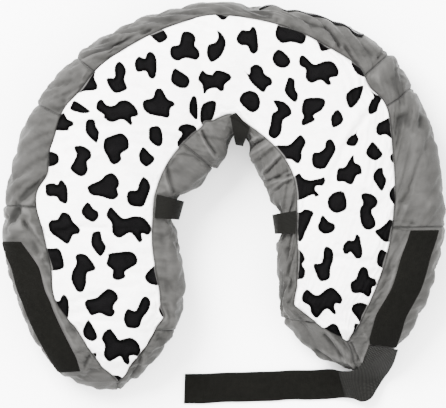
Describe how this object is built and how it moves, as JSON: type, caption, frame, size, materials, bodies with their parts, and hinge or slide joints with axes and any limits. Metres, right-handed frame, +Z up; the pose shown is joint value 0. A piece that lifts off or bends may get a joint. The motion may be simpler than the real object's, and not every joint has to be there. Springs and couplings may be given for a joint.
{
  "type": "inflatable recovery collar",
  "caption": "Soft C-shaped inflatable recovery collar for a pet, with a patched plush face, grey velour sides, elastic collar loops and a webbing closure strap.",
  "frame": {"origin": "middle of the bounding box in plan, on the floor that the collar lies on", "axes": "+Z up out of the plush face; the opening of the C points to -Y and the back of the neck to +Y; +X is the side that the closure strap is sewn to"},
  "size_m": [0.4432, 0.4022, 0.0756],
  "materials": {
    "grey_velour": "short velour pile, soft and mottled",
    "white_plush": "short fluffy plush, printed with black patches in the visual",
    "black_elastic": "fine ribbed elastic, matt",
    "black_pile": "dense hook and loop pile, matt",
    "black_webbing": "twill woven webbing, matt",
    "zip_black": "coil zip on woven tape, matt"
  },
  "bodies": {
    "root": {"face_panel": "white_plush", "underside_panel": "grey_velour", "outer_end_left": "grey_velour", "outer_side_left": "grey_velour", "outer_insert_left": "grey_velour", "outer_side_back": "grey_velour", "outer_insert_right": "grey_velour", "outer_side_right": "grey_velour", "outer_end_right": "grey_velour", "inner_end_left": "grey_velour", "inner_side_left": "grey_velour", "inner_side_right": "grey_velour", "inner_end_right": "grey_velour", "loop_left": "black_elastic", "loop_back": "black_elastic", "loop_right": "black_elastic", "fastening_strip_left": "black_pile", "fastening_strip_right": "black_pile", "closure_strap": "black_webbing", "strap_fastening_tape": "black_pile", "zip_tape": "zip_black", "zip_teeth": "zip_black"}
  },
  "joints": []
}
